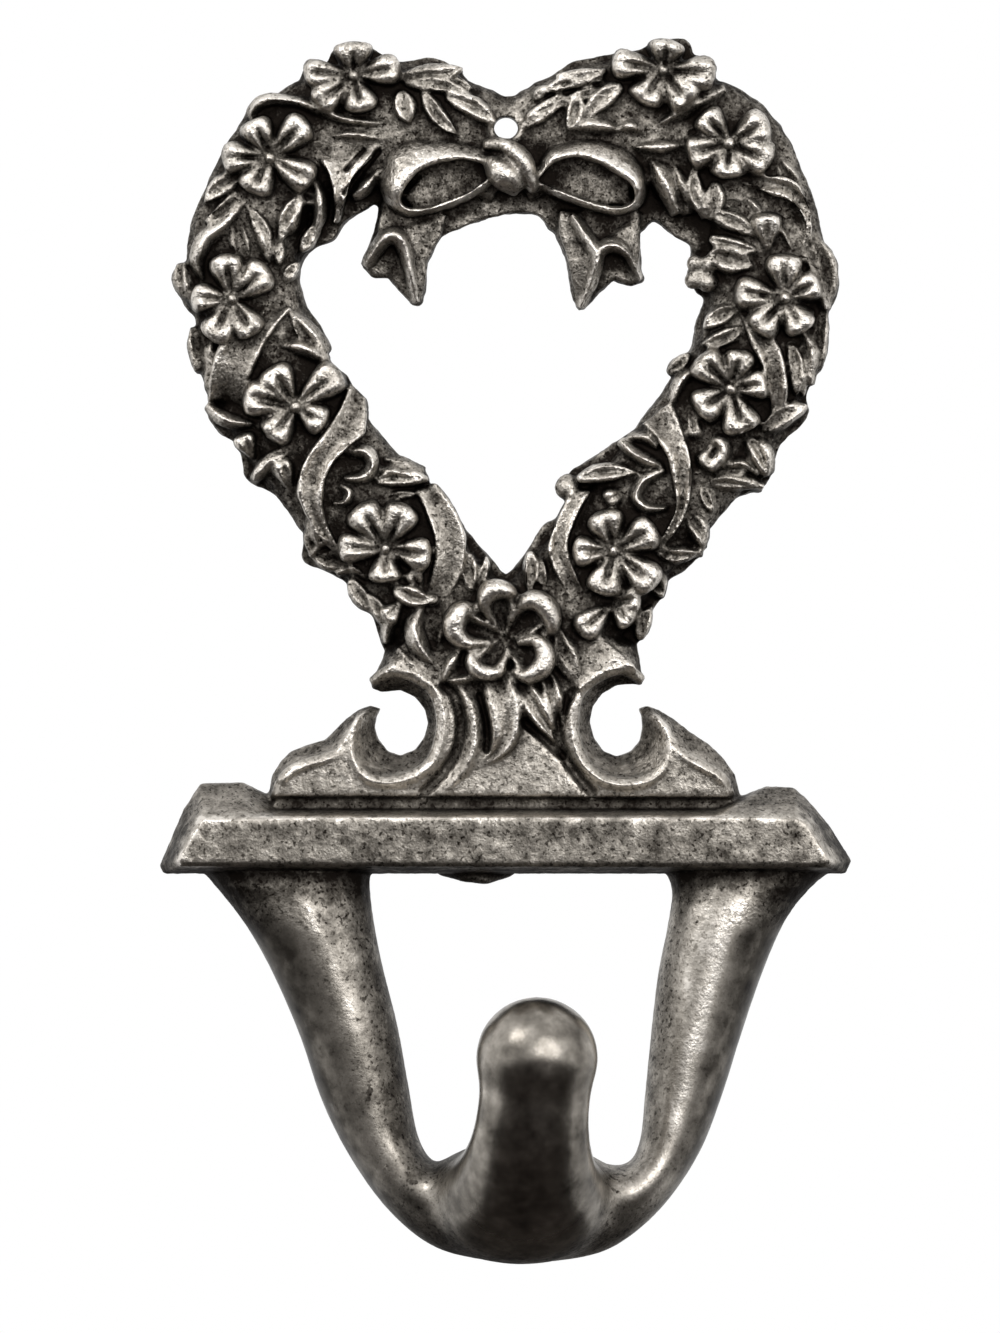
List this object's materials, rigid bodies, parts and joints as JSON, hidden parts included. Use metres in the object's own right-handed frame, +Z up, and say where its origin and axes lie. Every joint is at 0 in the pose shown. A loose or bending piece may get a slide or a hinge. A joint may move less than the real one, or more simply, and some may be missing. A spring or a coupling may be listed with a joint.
{
  "type": "wall hook",
  "caption": "Cast metal wall hook: a heart-shaped flower wreath with ribbon and bow over a bevelled ledge, and a curled prong with a ball tip between splayed legs.",
  "frame": {"origin": "centre of the nail hole where it meets the wall", "axes": "+Z up, the wall is the XZ plane, the decorated front faces -Y"},
  "size_m": [0.072, 0.0263, 0.1271],
  "materials": {
    "antique_pewter": "antiqued grey casting, dark in the hollows and rubbed bright on the ridges"
  },
  "bodies": {
    "root": {"cast_hook": "antique_pewter"}
  },
  "joints": []
}
